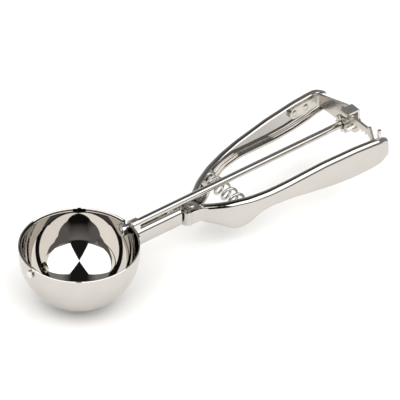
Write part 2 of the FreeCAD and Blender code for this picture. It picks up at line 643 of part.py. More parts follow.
def shaft_clip():
    """Open retaining ring in the journal's groove."""
    ring = rod_x(JOURNAL_RADIUS + 1.3, clip_x() + FIT, clip_x() + 0.7 - FIT)
    ring = ring.cut(rod_x(JOURNAL_RADIUS - 0.4 + FIT, clip_x() - 1, clip_x() + 2))
    gap = JOURNAL_RADIUS * 0.7
    return ring.cut(box((clip_x() - 1, -gap, -JOURNAL_RADIUS - 3), (clip_x() + 2, gap, 0)))


def spring_length():
    return 2 * (inner_y(SPRING_X) - SEAT_WALL - 1.6)


def spring():
    """Round-wire compression spring across the handles, under the shaft."""
    length = spring_length() - 2 * WIRE_RADIUS - 2 * FIT
    helix = Part.makeHelix(length / COIL_TURNS, length, COIL_RADIUS)
    start = V(COIL_RADIUS, 0, 0)
    circle = Part.Wire(Part.Circle(start, V(0, 1, 0), WIRE_RADIUS).toShape())
    coil = Part.Wire(helix).makePipeShell([circle], True, True)
    coil.rotate(V(0, 0, 0), V(1, 0, 0), -90)
    coil.translate(V(SPRING_X, -length / 2, SPRING_Z))
    return coil


def spring_seat():
    """Seat on the +Y side: a cup's base against the handle's slanted wall and a stud inside the coil."""
    face = spring_length() / 2
    base = rod_y(COIL_RADIUS + WIRE_RADIUS + 0.4, face, HANDLE_SPREAD, SPRING_X, SPRING_Z)
    reach = COIL_RADIUS + 2
    places = [SPRING_X + reach * (k / 3 - 1) for k in range(7)]
    wall = [(x, inner_y(x) - SEAT_GAP) for x in places]
    flat = level(TOP_LINE, places[0]) - level(CORNER_LINE, places[0])
    room = plate_z([(places[0], 0)] + wall + [(places[-1], 0)], SPRING_Z - 9, flat)
    stud = rod_y(COIL_RADIUS - WIRE_RADIUS - 0.35, face - SEAT_STUD, face + 0.2, SPRING_X, SPRING_Z)
    return base.common(room).fuse(stud).removeSplitter()


PIECES = {
    "bowl": bowl,
    "neck": neck,
    "front_bearing": front_bearing,
    "scraper_pin": scraper_pin,
    "fixed_handle": fixed_handle,
    "strap_rivets": strap_rivets,
    "pivot_rivet": pivot_rivet,
    "pivot_washers": pivot_washers,
    "pivot_spacer": pivot_spacer,
    "bearing_bracket": bearing_bracket,
    "bracket_rivets": lambda: foot_rivets(BRACKET_SHEET),
    "rear_bushing": rear_bushing,
    "fixed_spring_seat": spring_seat,
    "moving_handle": moving_handle,
    "rack": rack,
    "rack_rivets": lambda: mirrored(foot_rivets(RACK_SHEET)),
    "rack_pin": rack_pin,
    "moving_spring_seat": lambda: mirrored(spring_seat()),
    "drive_shaft": shaft,
    "pinion": pinion,
    "scraper": scraper,
    "scraper_hub": scraper_hub,
    "hub_pin": hub_pin,
    "shaft_clip": shaft_clip,
    "spring": spring,
}

os.makedirs("parts", exist_ok=True)
for name, build in PIECES.items():
    piece = build()
    piece.translate(V(0, 0, -RIM_HEIGHT))
    box_of = piece.BoundBox
    print(f"{name:20s} solids {len(piece.Solids)} valid {piece.isValid()} volume {piece.Volume:9.1f} "
          f"x {box_of.XMin:7.1f} {box_of.XMax:7.1f} y {box_of.YMin:6.1f} {box_of.YMax:6.1f} "
          f"z {box_of.ZMin:6.1f} {box_of.ZMax:6.1f}")
    piece.exportStep(f"parts/{name}.step")
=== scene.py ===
# %% [markdown]
# # A squeeze-handle ice cream scoop in polished stainless steel
#
# The scoop is pressed, turned and stamped from stainless steel, and nearly all of it is polished like a
# mirror. A mirror has no colour of its own: what the eye sees is the room. So this lesson has two halves,
# shapes whose curves are smooth enough to reflect cleanly, and a studio worth reflecting.
#
# The frame is the measured model of the scoop. It gives every piece's place and how the pieces move.

# %% Load the frame
import math

import bmesh
import bpy
import numpy as np
from mathutils import Matrix, Vector


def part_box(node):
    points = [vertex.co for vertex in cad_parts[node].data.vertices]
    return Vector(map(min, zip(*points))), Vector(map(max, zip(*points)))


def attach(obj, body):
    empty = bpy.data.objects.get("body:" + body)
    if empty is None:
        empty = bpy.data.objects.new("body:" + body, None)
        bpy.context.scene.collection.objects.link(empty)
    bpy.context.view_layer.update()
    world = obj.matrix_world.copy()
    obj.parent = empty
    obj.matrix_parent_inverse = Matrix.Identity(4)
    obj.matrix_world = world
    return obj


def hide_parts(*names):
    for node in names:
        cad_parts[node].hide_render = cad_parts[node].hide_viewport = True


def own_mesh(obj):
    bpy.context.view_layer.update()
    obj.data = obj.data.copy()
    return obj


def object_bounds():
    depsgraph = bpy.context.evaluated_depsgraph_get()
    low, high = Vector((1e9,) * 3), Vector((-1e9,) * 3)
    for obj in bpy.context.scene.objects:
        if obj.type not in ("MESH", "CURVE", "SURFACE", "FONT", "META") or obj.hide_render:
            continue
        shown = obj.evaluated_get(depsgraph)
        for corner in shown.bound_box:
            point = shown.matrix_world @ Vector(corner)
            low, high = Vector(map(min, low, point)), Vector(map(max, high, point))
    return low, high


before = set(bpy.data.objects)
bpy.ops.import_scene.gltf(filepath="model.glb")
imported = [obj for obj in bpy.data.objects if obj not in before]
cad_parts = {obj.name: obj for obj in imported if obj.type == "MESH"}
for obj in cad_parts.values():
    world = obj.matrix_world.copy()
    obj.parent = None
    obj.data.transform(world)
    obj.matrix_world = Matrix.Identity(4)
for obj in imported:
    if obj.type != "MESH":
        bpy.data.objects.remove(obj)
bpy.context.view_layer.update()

MM = 0.001

# %% [markdown]
# ## Sizes
#
# The bowl, the shaft and the bearings share one axis, 4 mm under the rim. The sizes come from the frame's
# boxes wherever a box can give them, so the polished surfaces lie where the measured ones do.

# %% Read the main sizes


def span(node):
    """Lowest and highest corner of a node, as arrays in millimetres."""
    low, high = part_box(node)
    return np.array(low) / MM, np.array(high) / MM


AXIS_Z = -4.0
BOWL_RADIUS = 32.0
BOWL_WALL = 0.8
NECK_END = span("neck")[1][0]
PIVOT_X = sum(corner[0] for corner in span("pivot_rivet")) / 2
HANDLE_END = span("moving_handle")[1][0]
HANDLE_LENGTH = HANDLE_END - PIVOT_X
print("neck end", round(NECK_END, 2), "pivot", round(PIVOT_X, 2), "handle end", round(HANDLE_END, 2))

# %% [markdown]
# ## From arrays to a mesh
#
# Each new piece is a surface over a grid of two parameters. The grid's rows and columns are worked out
# with numpy in one go, and one helper puts the points and the four-cornered faces into a mesh.

# %% Make a mesh from a grid of points


def grid_faces(rows, columns, wrap_rows, wrap_columns):
    """Faces of a grid: each joins a point to its neighbours along the row and the column."""
    i = np.arange(rows if wrap_rows else rows - 1)
    j = np.arange(columns if wrap_columns else columns - 1)
    i, j = (a.ravel() for a in np.meshgrid(i, j, indexing="ij"))
    i2, j2 = (i + 1) % rows, (j + 1) % columns
    return np.stack([i * columns + j, i2 * columns + j, i2 * columns + j2, i * columns + j2], axis=1)


def new_piece(name, points, faces, body, slot, material, node=None):
    """A finished piece from points in mm: smooth, riding on a body, standing for a node if one is named."""
    mesh = bpy.data.meshes.new(name)
    mesh.from_pydata((np.asarray(points) * MM).tolist(), [], [list(f) for f in faces])
    mesh.validate()
    mesh.shade_smooth()
    piece = bpy.data.objects.new(name, mesh)
    bpy.context.scene.collection.objects.link(piece)
    mesh.materials.append(material)
    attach(piece, body)
    if node:
        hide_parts(node)
    return piece


def surface(name, grid, wrap_rows=False, wrap_columns=False, **where):
    """A piece from a grid of points with shape rows x columns x 3."""
    rows, columns = grid.shape[:2]
    faces = grid_faces(rows, columns, wrap_rows, wrap_columns)
    piece = new_piece(name, grid.reshape(-1, 3), faces, **where)
    print(name, len(piece.data.polygons), "faces")
    return piece


# %% [markdown]
# ## Colours and a helper for nodes
#
# Colours are written as on a screen and turned to linear light by one function. A second function adds a
# node to a material with its settings and links, so each material reads as a short list of steps.

# %% Colour and node helpers


def linear(hex_colour):
    """A screen colour such as #DDD8D2 as linear red, green, blue and alpha 1."""
    channels = np.array([int(hex_colour[k:k + 2], 16) for k in (1, 3, 5)]) / 255
    low = channels / 12.92
    high = ((channels + 0.055) / 1.055) ** 2.4
    return (*np.where(channels <= 0.04045, low, high).tolist(), 1.0)


def add(tree, kind, settings=None, **links):
    """Adds a node: settings are its properties and unlinked inputs, links its inputs by name."""
    made = tree.nodes.new(kind)
    for key, value in (settings or {}).items():
        if isinstance(key, int) or key in made.inputs:
            made.inputs[key].default_value = value
        else:
            setattr(made, key, value)
    for key, source in links.items():
        wanted = key.replace("_", " ")
        socket = made.inputs[int(key[1:])] if key[0] == "i" and key[1:].isdigit() else made.inputs[wanted]
        tree.links.new(source, socket)
    return made


# %% [markdown]
# ## Polished stainless steel
#
# Austenitic stainless steel, pressed from sheet and buffed on a wheel. It gives the eye a nearly perfect
# mirror with a slight warmth, very faint waves that bend the edges of reflections, and hairline wheel
# marks that only soften a highlight. The waves are a few millimetres long and under a micron deep; the
# wheel marks are a tenth of a millimetre apart, drawn as coarse as a render can show.

# %% Polished stainless steel


def steel(name, hex_colour, roughness, wave_mm, wave_height, grain_mm, grain_height, stretch=(1, 1, 1)):
    """Steel of one finish: a metal with waves and grain in its bump, and grain in its roughness."""
    material = bpy.data.materials.new(name)
    material.use_nodes = True
    tree = material.node_tree
    tree.nodes.clear()
    place = add(tree, "ShaderNodeTexCoord")
    scaled = add(tree, "ShaderNodeMapping", {"Scale": stretch}, Vector=place.outputs["Object"])
    waves = add(tree, "ShaderNodeTexNoise", {"Scale": 1 / (wave_mm * MM), "Detail": 1.0},
                Vector=place.outputs["Object"])
    grain = add(tree, "ShaderNodeTexNoise", {"Scale": 1 / (grain_mm * MM), "Detail": 3.0},
                Vector=scaled.outputs["Vector"])
    rough = add(tree, "ShaderNodeMapRange",
                {"From Min": 0.3, "From Max": 0.7, "To Min": roughness * 0.6, "To Max": roughness * 1.5},
                Value=grain.outputs["Fac"])
    tint = add(tree, "ShaderNodeMix", {"data_type": "RGBA", 6: linear(hex_colour),
                                       7: tuple(0.93 * c for c in linear(hex_colour)[:3]) + (1.0,)},
               i0=waves.outputs["Fac"])
    broad = add(tree, "ShaderNodeBump", {"Strength": 1.0, "Distance": wave_height * MM},
                Height=waves.outputs["Fac"])
    fine = add(tree, "ShaderNodeBump", {"Strength": 1.0, "Distance": grain_height * MM},
               Height=grain.outputs["Fac"], Normal=broad.outputs["Normal"])
    shader = add(tree, "ShaderNodeBsdfPrincipled", {"Metallic": 1.0}, Base_Color=tint.outputs[2],
                 Roughness=rough.outputs["Result"], Normal=fine.outputs["Normal"])
    add(tree, "ShaderNodeOutputMaterial", Surface=shader.outputs["BSDF"])
    return material


MIRROR = steel("mirror_polished_stainless", "#C4C0BB", 0.03, 9.0, 0.003, 0.35, 0.00003)
SATIN = steel("satin_stamped_stainless", "#D3CEC7", 0.24, 5.0, 0.004, 0.12, 0.004, (1, 1, 6))
TURNED = steel("turned_stainless", "#DAD6D0", 0.16, 4.0, 0.002, 0.10, 0.002, (6, 1, 1))
WIRE = steel("drawn_spring_wire", "#CFCCC8", 0.12, 3.0, 0.002, 0.10, 0.001)
print("materials:", [m.name for m in (MIRROR, SATIN, TURNED, WIRE)])

# %% [markdown]
# ## Smooth lines along the scoop
#
# A handle is pressed from one strip whose width, height and bend change slowly from the pivot to the end.
# Each of these is a line drawn through a few points. A mirror shows every kink, so the line is first
# drawn straight from point to point, then averaged with its neighbours by a bell curve.

# %% A smooth line through a few points


def smooth_line(points, at, blur=0.03):
    """Straight runs through the points, sampled densely and averaged with a bell curve of width blur."""
    xs, values = np.array(points, float).T
    dense = np.linspace(xs[0] - 0.2, xs[-1] + 0.2, 1500)
    slope_in = (values[1] - values[0]) / (xs[1] - xs[0])
    slope_out = (values[-1] - values[-2]) / (xs[-1] - xs[-2])
    raw = np.interp(dense, xs, values)
    raw = np.where(dense < xs[0], values[0] + slope_in * (dense - xs[0]), raw)
    raw = np.where(dense > xs[-1], values[-1] + slope_out * (dense - xs[-1]), raw)
    step = dense[1] - dense[0]
    reach = int(3 * blur / step)
    kernel = np.exp(-0.5 * (np.arange(-reach, reach + 1) * step / blur) ** 2)
    averaged = np.convolve(raw, kernel / kernel.sum(), mode="same")
    return np.interp(at, dense[reach:-reach], averaged[reach:-reach])


# %% [markdown]
# ## Handles
#
# Each handle is a strip pressed to a C, open towards the other handle. Its upper edge is rolled over into a
# bead that the palm rests on, its lower edge is turned in, and its outer face is nearly flat. The section
# is one closed outline, carried along the handle while its height and its distance from the shaft follow the
# lines. The end closes with a face between the outline's outer and inner half.

# %% The lines of a handle
SHEET = 1.2
WEB_HALF_WIDTH = 5.6        # outer faces of the flat webs from the axis
SPREAD = 29.8               # outer faces from the shaft's axis, near the ends
OUTER_LINE = ((0.0, 0.20), (0.025, 0.21), (0.06, 0.305), (0.13, 0.49), (0.23, 0.665), (0.33, 0.77),
              (0.43, 0.83), (0.63, 0.90), (0.83, 0.965), (0.95, 1.0), (1.0, 0.957))
TOP_LINE = ((0.02, -5.0), (0.09, -4.6), (0.18, -3.2), (0.27, -2.0), (0.36, -0.4), (0.45, 1.2),
            (0.63, 4.0), (0.81, 5.3), (0.92, 5.3), (0.965, 4.7), (1.0, 2.5))
BOTTOM_LINE = ((0.0, -14.0), (0.055, -15.9), (0.10, -17.6), (0.155, -21.0), (0.195, -20.4),
               (0.235, -17.4), (0.275, -13.4), (0.33, -10.9), (0.44, -10.2), (0.67, -12.6),
               (0.79, -12.8), (0.90, -11.8), (0.965, -10.2), (1.0, -8.4))
BEAD_LINE = ((0.0, 2.2), (0.15, 2.4), (0.30, 3.2), (0.50, 4.0), (0.95, 4.2), (1.0, 3.0))


def handle_lines(share):
    """Outer face, top, bottom and bead height at shares of the handle's length behind the pivot."""
    web = OUTER_LINE[0][1]
    spread = smooth_line(OUTER_LINE, share, 0.012)
    outer = WEB_HALF_WIDTH + (SPREAD - WEB_HALF_WIDTH) * (spread - web) / (1 - web)
    return outer, smooth_line(TOP_LINE, share, 0.014), smooth_line(BOTTOM_LINE, share, 0.014), \
        smooth_line(BEAD_LINE, share)


# %% Carry the section along the handle
BEAD_TURN = math.radians(128)
FLANGE = 4.6                # reach of the bead inwards from the outer face
LIP = 4.6                   # reach of the lower lip
LIP_RADIUS = 2.2
LIP_RISE = 0.35             # of the lip's free edge
EDGE_ROUND = 0.25           # how far a sheet's cut edge bulges, as a share of the last step of the grid
FRONT_ROWS, END_ROWS = 110, 24
END_SHARE = 0.93            # from here to the end the rows lie closer


def section_sides(share):
    """Outer and inner side of the section: arrays of (row, point, yz) from the bead's edge to the lip's.

    The bead is part of an ellipse, from its inner edge over the top to the outer face. The lip is a
    quarter circle and a flat. The inner side is the outer one moved inwards by the sheet's thickness
    along its normal.
    """
    outer, top, bottom, bead = (a[:, None] for a in handle_lines(share))
    turn = np.linspace(BEAD_TURN, 0, 28)[None, :]
    radius_y = FLANGE / (1 - math.cos(BEAD_TURN))
    bead_y = outer - radius_y * (1 - np.cos(turn))
    bead_z = top - bead * (1 - np.sin(turn))
    down = np.linspace(0, 1, 10)[None, 1:-1]
    wall_z = (top - bead) + (bottom + LIP_RADIUS - top + bead) * down
    wall_y = outer + 0 * wall_z
    under = np.linspace(0, math.pi / 2, 10)[None, :]
    lip_y = outer - LIP_RADIUS * (1 - np.cos(under))
    lip_z = bottom + LIP_RADIUS * (1 - np.sin(under))
    flat = np.linspace(0, 1, 5)[None, 1:]
    flat_y = outer - LIP_RADIUS - (LIP - LIP_RADIUS) * flat
    flat_z = bottom + 0 * flat_y + LIP_RISE * flat ** 2
    y = np.concatenate([bead_y, wall_y, lip_y, flat_y], axis=1)
    z = np.concatenate([bead_z, wall_z, lip_z, flat_z], axis=1)
    ty, tz = np.gradient(y, axis=1), np.gradient(z, axis=1)
    length = np.hypot(ty, tz)
    inner = np.stack([y + SHEET * tz / length, z - SHEET * ty / length], axis=2)
    return np.stack([y, z], axis=2), inner


def handle_grid(start, side):
    """Closed outline at each place along the handle: the outer side and, back again, the inner one."""
    share = (start - PIVOT_X) / HANDLE_LENGTH
    close = np.linspace(END_SHARE + 0.005, 1.0, END_ROWS)
    share = np.concatenate([np.linspace(share, END_SHARE, FRONT_ROWS), close])
    outside, inside = section_sides(share)
    edge_out = (outside[:, :1] + inside[:, :1]) / 2 + EDGE_ROUND * (outside[:, :1] - outside[:, 1:2])
    edge_low = (outside[:, -1:] + inside[:, -1:]) / 2
    edge_low = edge_low + EDGE_ROUND * (outside[:, -1:] - outside[:, -2:-1])
    loop = np.concatenate([edge_out, outside, edge_low, inside[:, ::-1]], axis=1)
    x = PIVOT_X + share * HANDLE_LENGTH
    grid = np.concatenate([np.broadcast_to(x[:, None, None], loop.shape[:2] + (1,)), loop], axis=2)
    grid[:, :, 1] *= side
    grid[:, :, 2] += AXIS_Z
    return grid


def end_faces(rows, columns):
    """Faces that close both ends of a tube with a folded outline, joining its two halves."""
    half = (columns - 2) // 2
    k = np.arange(half)
    outer, inner = k + 1, columns - 1 - k
    first = [(0, columns - 1, 1)]
    first += [(a, a2, b2, b) for a, a2, b, b2 in zip(outer[:-1], outer[1:], inner[:-1], inner[1:])]
    first += [(int(outer[-1]), int(outer[-1]) + 1, int(inner[-1]))]
    first = [tuple(int(v) for v in f) for f in first]
    last = [tuple((rows - 1) * columns + v for v in reversed(f)) for f in first]
    return first + last


def fix_normals(piece):
    """Points every face outwards, after coincident points are merged."""
    shape = bmesh.new()
    shape.from_mesh(piece.data)
    bmesh.ops.remove_doubles(shape, verts=shape.verts, dist=1e-6)
    bmesh.ops.recalc_face_normals(shape, faces=shape.faces)
    shape.to_mesh(piece.data)
    shape.free()
    piece.data.shade_smooth()


def crisp(piece, degrees=40):
    """Keeps folds sharper than an angle crisp while the rest stays smooth."""
    piece.data.set_sharp_from_angle(angle=math.radians(degrees))


def handle(name, side, body, start):
    grid = handle_grid(start, side)
    rows, columns = grid.shape[:2]
    faces = list(grid_faces(rows, columns, False, True)) + end_faces(rows, columns)
    piece = new_piece(name, grid.reshape(-1, 3), faces, body, "polished_stainless", MIRROR, name)
    fix_normals(piece)
    crisp(piece)
    print(name, len(piece.data.polygons), "faces")


FLANGE_START = PIVOT_X + 4.5    # behind the pivot, clear of the lugs
handle("moving_handle", -1, "lever", FLANGE_START)
handle("fixed_handle", 1, "scoop_frame", FLANGE_START)

# %% [markdown]
# ## Webs, lugs and the strap
#
# Ahead of its flanges each handle is a flat web that passes beside the pivot, and two lugs turn in from it
# with round ends for the rivet. The front end of each web turns inwards as a knuckle, and the fixed
# handle's goes on as a strap that is riveted to the neck. A web is a
# vertical strip along a path; a lug is a flat plate whose outline is half a circle and two straight sides.
# Both are given their edges by a bevel.

# %% Plates with rounded edges


def plate(name, outline, low, high, body, bevel=0.25):
    """A level plate from an outline in x and y, as points in order, with a small bevel on its edges."""
    outline = np.asarray(outline, float)
    count = len(outline)
    bottom = np.column_stack([outline, np.full(count, low + AXIS_Z)])
    top = np.column_stack([outline, np.full(count, high + AXIS_Z)])
    sides = grid_faces(2, count, False, True).tolist()
    faces = sides + [list(range(count))[::-1], list(range(count, 2 * count))]
    piece = new_piece(name, np.concatenate([bottom, top]), faces, body, "polished_stainless", MIRROR)
    fix_normals(piece)
    rounded = piece.modifiers.new("edges", "BEVEL")
    rounded.width, rounded.segments, rounded.limit_method = bevel * MM, 3, "ANGLE"
    rounded.harden_normals = True
    return piece


def round_end(centre, radius, start, stop, points=20):
    """Points on part of a circle, from one angle to another in degrees."""
    turn = np.radians(np.linspace(start, stop, points))
    return np.column_stack([centre[0] + radius * np.cos(turn), centre[1] + radius * np.sin(turn)])


# %% Lugs and webs
LUG_RADIUS = 3.8
WEB_FRONT = PIVOT_X - 7.7
KNUCKLE = 4.4               # radius of the web's turned front end
STRAP_LENGTH = 13.6         # from the neck's rear end forwards
STRAP_LOW, STRAP_HIGH = -10.0, -4.8
STRAP_IN, STRAP_OUT = 4.45, 5.55
LUG_TOPS = {"moving": (-5.65, -12.45), "fixed": (-7.3, -10.8)}
pivot = (PIVOT_X, 0.0)
for side, which, body in ((-1, "moving", "lever"), (1, "fixed", "scoop_frame")):
    for level_name, top in zip(("upper", "lower"), LUG_TOPS[which]):
        end = round_end(pivot, LUG_RADIUS, 0, side * -180)
        wall = side * (WEB_HALF_WIDTH - 0.3)
        outline = np.concatenate([end, [(PIVOT_X - LUG_RADIUS, wall), (PIVOT_X + LUG_RADIUS, wall)]])
        plate(f"{which}_{level_name}_lug", outline, top - SHEET, top, body)
    x = np.linspace(WEB_FRONT + KNUCKLE, FLANGE_START + 1.0, 30)
    outer = handle_lines((x - PIVOT_X) / HANDLE_LENGTH)[0]
    front = round_end((WEB_FRONT + KNUCKLE, WEB_HALF_WIDTH - KNUCKLE), KNUCKLE, 180, 95, 14)
    front_in = round_end((WEB_FRONT + KNUCKLE, WEB_HALF_WIDTH - KNUCKLE), KNUCKLE - SHEET, 95, 180, 14)
    outside = np.concatenate([front, np.column_stack([x, outer])])
    inside = np.concatenate([np.column_stack([x[::-1], outer[::-1] - SHEET]), front_in])
    outline = np.concatenate([outside, inside]) * (1, side)
    low, high = LUG_TOPS["moving"][1] - SHEET, LUG_TOPS["moving"][0]
    plate(f"{which}_web", outline, low, high, body)
strap_start, strap_end = NECK_END - STRAP_LENGTH, WEB_FRONT + 3.0
strap = [(strap_start, STRAP_IN), (strap_end, STRAP_IN), (strap_end, STRAP_OUT), (strap_start, STRAP_OUT)]
plate("fixed_strap", strap, STRAP_LOW, STRAP_HIGH, "scoop_frame")
print("lugs, webs and strap made")

# %% [markdown]
# ## Turned pieces
#
# The shaft, the rivets and the pins are turned: a profile of radius against length, spun about an axis.
# Each fold of the profile gets a small rounding, so that it catches a line of light.

# %% Turn a profile


def rounded_profile(profile, radius=0.15, points=4):
    """Each corner of a profile of (along, radius) points is cut back and bridged by a curve."""
    profile = np.asarray(profile, float)
    before, corner, after = profile[:-2], profile[1:-1], profile[2:]

    def towards(target):
        way = target - corner
        length = np.linalg.norm(way, axis=1, keepdims=True)
        return corner + way / length * np.minimum(radius, 0.4 * length)

    t = np.linspace(0, 1, points)[None, :, None]
    a, b, c = towards(before)[:, None], corner[:, None], towards(after)[:, None]
    curve = (1 - t) ** 2 * a + 2 * t * (1 - t) * b + t ** 2 * c
    return np.concatenate([profile[:1], curve.reshape(-1, 2), profile[-1:]])


def turned(name, profile, body, slot, material, axis="x", centre=(0.0, 0.0), around=64, rounding=0.15,
           node=None):
    """A turned piece: the profile starts and ends on the axis, and each point is spun in a circle."""
    along, radius = rounded_profile(profile, rounding).T
    turn = np.linspace(0, 2 * math.pi, around, endpoint=False)
    a = np.broadcast_to(along[:, None], (len(along), around))
    u, v = radius[:, None] * np.cos(turn), radius[:, None] * np.sin(turn)
    if axis == "x":
        grid = np.stack([a, u + centre[0], v + centre[1]], axis=2)
    elif axis == "y":
        grid = np.stack([u + centre[0], a, v + centre[1]], axis=2)
    else:
        grid = np.stack([u + centre[0], v + centre[1], a], axis=2)
    piece = surface(name, grid, False, True, body=body, slot=slot, material=material, node=node or name)
    fix_normals(piece)
    crisp(piece, 50)
    return piece


# %% Shaft, pins and rivets
SHAFT_RADIUS, JOURNAL_RADIUS, GROOVE_RADIUS, GROOVE_WIDTH = 2.0, 1.5, 1.1, 0.7
PIN_HEAD_RADIUS, PIN_RADIUS, PEENED_LENGTH = 2.2, 1.25, 0.8
RACK_PIN_RADIUS, RACK_PIN_NECK = 1.1, 0.85
RIVET_RADIUS, RIVET_HEAD, RIVET_HEIGHT = 1.5, 2.4, 1.1
HUB_BORE, HUB_RADIUS = 2.02, 3.5
(shaft_start, *_), (shaft_end, *_) = span("drive_shaft")
pinion_rear = span("pinion")[1][0]
clip = span("shaft_clip")[0][0]
turned("drive_shaft", [(shaft_start, 0), (shaft_start, SHAFT_RADIUS), (pinion_rear, SHAFT_RADIUS),
                       (pinion_rear, JOURNAL_RADIUS), (clip, JOURNAL_RADIUS), (clip, GROOVE_RADIUS),
                       (clip + GROOVE_WIDTH, GROOVE_RADIUS), (clip + GROOVE_WIDTH, JOURNAL_RADIUS),
                       (shaft_end, JOURNAL_RADIUS), (shaft_end, 0)],
       "drive", "polished_stainless", MIRROR, centre=(0, AXIS_Z))
pin_low, pin_high = span("scraper_pin")
head_in = -BOWL_RADIUS - 0.02
peened = pin_high[0] - PEENED_LENGTH
turned("scraper_pin", [(pin_low[0], 0), (pin_low[0], PIN_HEAD_RADIUS), (head_in, PIN_HEAD_RADIUS),
                       (head_in, PIN_RADIUS), (peened, PIN_RADIUS), (peened, PIN_HEAD_RADIUS),
                       (pin_high[0], PIN_HEAD_RADIUS), (pin_high[0], 0)],
       "scoop_frame", "polished_stainless", TURNED, centre=(0, AXIS_Z), rounding=0.35)
rack_pin_low, rack_pin_high = span("rack_pin")
pin_middle = (rack_pin_low + rack_pin_high) / 2
pin_top = rack_pin_high[2]
neck_low, neck_high = pin_top - 1.6, pin_top - 1.0
turned("rack_pin", [(rack_pin_low[2], 0), (rack_pin_low[2], RACK_PIN_RADIUS), (neck_low, RACK_PIN_RADIUS),
                    (neck_low, RACK_PIN_NECK), (neck_high, RACK_PIN_NECK), (neck_high, RACK_PIN_RADIUS),
                    (pin_top, RACK_PIN_RADIUS), (pin_top, 0)],
       "lever", "satin_stainless", TURNED, "z", pin_middle[:2], rounding=0.3)
rivet_low, rivet_high = (corner[2] for corner in span("pivot_rivet"))
under_head, over_head = rivet_high - RIVET_HEIGHT, rivet_low + RIVET_HEIGHT
dome_turn = np.linspace(0, math.pi / 2, 9)
dome_height, dome_radius = RIVET_HEIGHT * np.cos(dome_turn), RIVET_HEAD * np.sin(dome_turn)
upper = np.column_stack([under_head + dome_height, dome_radius])
lower = np.column_stack([over_head - dome_height, dome_radius])[::-1]
rivet_shank = [(under_head, RIVET_RADIUS), (over_head, RIVET_RADIUS)]
turned("pivot_rivet", np.concatenate([upper, rivet_shank, lower]),
       "scoop_frame", "polished_stainless", MIRROR, "z", pivot, rounding=0.1)
(hub_start, *_), (hub_end, *_) = span("scraper_hub")
turned("scraper_hub", [(hub_start, HUB_BORE), (hub_start, HUB_RADIUS), (hub_end, HUB_RADIUS),
                       (hub_end, HUB_BORE), (hub_start, HUB_BORE)],
       "drive", "satin_stainless", TURNED, centre=(0, AXIS_Z), rounding=0.3)

# %% [markdown]
# ## Bowl
#
# The bowl is spun from sheet: half a sphere with a short straight band and a rim whose edges are eased.
# One closed outline, outside and inside, is swept round the vertical axis. At the shaft the sweep stops
# short on both sides, by more the nearer the outline is to the rim, and that leaves the slot.

# %% Spin the bowl
SLOT = 2.4                  # half the slot's width, round the shaft


def bowl_profile(steps=64):
    """Outer side from the bottom up to the rim as (radius, z), then the inner side back down."""
    turn = np.linspace(0, math.pi / 2, steps)
    band = np.linspace(0, 1, 12)[1:]
    ease = 0.25

    def side(radius):
        r = np.concatenate([radius * np.sin(turn), np.full(band.size, radius)])
        z = np.concatenate([-radius * np.cos(turn), (-AXIS_Z - ease) * band])
        return np.column_stack([r, z])

    outer, inner = side(BOWL_RADIUS), side(BOWL_RADIUS - BOWL_WALL)
    outer_rim = [(BOWL_RADIUS - ease, -AXIS_Z)]
    inner_rim = [(BOWL_RADIUS - BOWL_WALL + ease, -AXIS_Z)]
    return np.concatenate([outer, outer_rim]), np.concatenate([inner, inner_rim])


def bowl():
    outer, inner = bowl_profile()
    profile = np.concatenate([outer, inner[::-1]])
    radius, z = profile[:, 0], profile[:, 1]
    width = np.where(z >= 0, SLOT, np.sqrt(np.maximum(SLOT ** 2 - z ** 2, 0)))
    gap = np.where((z > -SLOT) & (radius > 1), width / np.maximum(radius, 1), 0.0)
    share = np.linspace(0, 1, 241)[None, :]
    turn = gap[:, None] + (2 * math.pi - 2 * gap[:, None]) * share
    grid = np.stack([radius[:, None] * np.cos(turn), radius[:, None] * np.sin(turn),
                     np.broadcast_to(z[:, None] + AXIS_Z, turn.shape)], axis=2)
    rows, columns = turn.shape
    faces = grid_faces(rows, columns, True, False).tolist()
    open_rows = np.flatnonzero(gap[:len(outer) - 1] > 0)
    for k in open_rows.tolist():
        for column in (0, columns - 1):
            a, b = k * columns + column, (k + 1) * columns + column
            c, d = (rows - 2 - k) * columns + column, (rows - 1 - k) * columns + column
            faces.append([a, b, c, d])
    piece = new_piece("bowl", grid.reshape(-1, 3), faces, "scoop_frame", "polished_stainless", MIRROR,
                      "bowl")
    fix_normals(piece)
    crisp(piece, 35)
    print("bowl", len(piece.data.polygons), "faces")


bowl()

# %% [markdown]
# ## Scraper
#
# The blade is a strip of a thin spherical shell, cut from flat sheet and pressed. Its two edges lie at a
# constant height on either side of the shaft's axis, and its ends widen to round eyes on the axis.

# %% Press the scraper
SCRAPER_OUTER = BOWL_RADIUS - BOWL_WALL - 0.4
SCRAPER_SHEET = 0.7
SCRAPER_WIDTH = 5.6
EYE = 3.7


